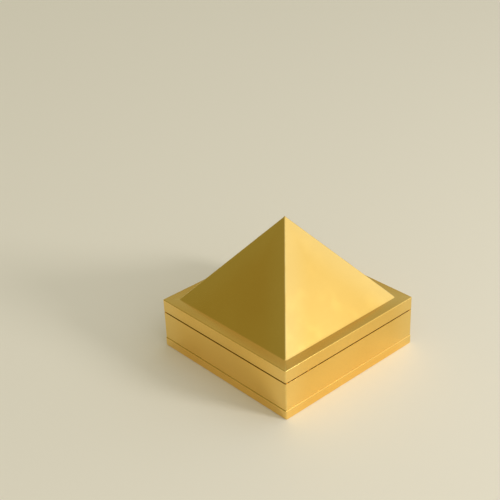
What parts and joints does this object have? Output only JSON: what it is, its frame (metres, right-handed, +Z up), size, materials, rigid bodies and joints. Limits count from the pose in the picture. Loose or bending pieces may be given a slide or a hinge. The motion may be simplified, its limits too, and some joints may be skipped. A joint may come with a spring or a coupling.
{
  "type": "vastu pyramid",
  "caption": "Square brass box with a lift-off hollow pyramid lid over a neck, holding a nested stack of thin plates stamped with small pyramids.",
  "frame": {"origin": "centre of the flat underside, where the box stands on the table", "axes": "+Z up through the apex; X and Y square to the sides of the box"},
  "size_m": [0.0764, 0.0764, 0.0635],
  "materials": {
    "satin_brass": "polished to a soft satin, lacquered",
    "plain_brass": "as rolled, dull, with faint solder stains",
    "stamped_brass": "bright stamped sheet"
  },
  "bodies": {
    "base": {"bottom_pan": "satin_brass", "wall_band": "satin_brass", "neck": "plain_brass"},
    "plate_01": {"pyramid_plate_01": "stamped_brass"},
    "plate_02": {"pyramid_plate_02": "stamped_brass"},
    "plate_03": {"pyramid_plate_03": "stamped_brass"},
    "plate_04": {"pyramid_plate_04": "stamped_brass"},
    "plate_05": {"pyramid_plate_05": "stamped_brass"},
    "plate_06": {"pyramid_plate_06": "stamped_brass"},
    "plate_07": {"pyramid_plate_07": "stamped_brass"},
    "plate_08": {"pyramid_plate_08": "stamped_brass"},
    "plate_09": {"pyramid_plate_09": "stamped_brass"},
    "plate_10": {"pyramid_plate_10": "stamped_brass"},
    "lid": {"lid_frame": "satin_brass", "pyramid_shell": "satin_brass"}
  },
  "joints": [
    {"name": "plate_01_lift", "type": "slide", "parent": "base", "child": "plate_01", "axis": [0, 0, 1], "range_m": [0, 0.025]},
    {"name": "plate_02_lift", "type": "slide", "parent": "plate_01", "child": "plate_02", "axis": [0, 0, 1], "range_m": [0, 0.025]},
    {"name": "plate_03_lift", "type": "slide", "parent": "plate_02", "child": "plate_03", "axis": [0, 0, 1], "range_m": [0, 0.025]},
    {"name": "plate_04_lift", "type": "slide", "parent": "plate_03", "child": "plate_04", "axis": [0, 0, 1], "range_m": [0, 0.025]},
    {"name": "plate_05_lift", "type": "slide", "parent": "plate_04", "child": "plate_05", "axis": [0, 0, 1], "range_m": [0, 0.025]},
    {"name": "plate_06_lift", "type": "slide", "parent": "plate_05", "child": "plate_06", "axis": [0, 0, 1], "range_m": [0, 0.025]},
    {"name": "plate_07_lift", "type": "slide", "parent": "plate_06", "child": "plate_07", "axis": [0, 0, 1], "range_m": [0, 0.025]},
    {"name": "plate_08_lift", "type": "slide", "parent": "plate_07", "child": "plate_08", "axis": [0, 0, 1], "range_m": [0, 0.025]},
    {"name": "plate_09_lift", "type": "slide", "parent": "plate_08", "child": "plate_09", "axis": [0, 0, 1], "range_m": [0, 0.025]},
    {"name": "plate_10_lift", "type": "slide", "parent": "plate_09", "child": "plate_10", "axis": [0, 0, 1], "range_m": [0, 0.025]},
    {"name": "lid_lift", "type": "slide", "parent": "plate_10", "child": "lid", "axis": [0, 0, 1], "range_m": [0, 0.04]}
  ]
}
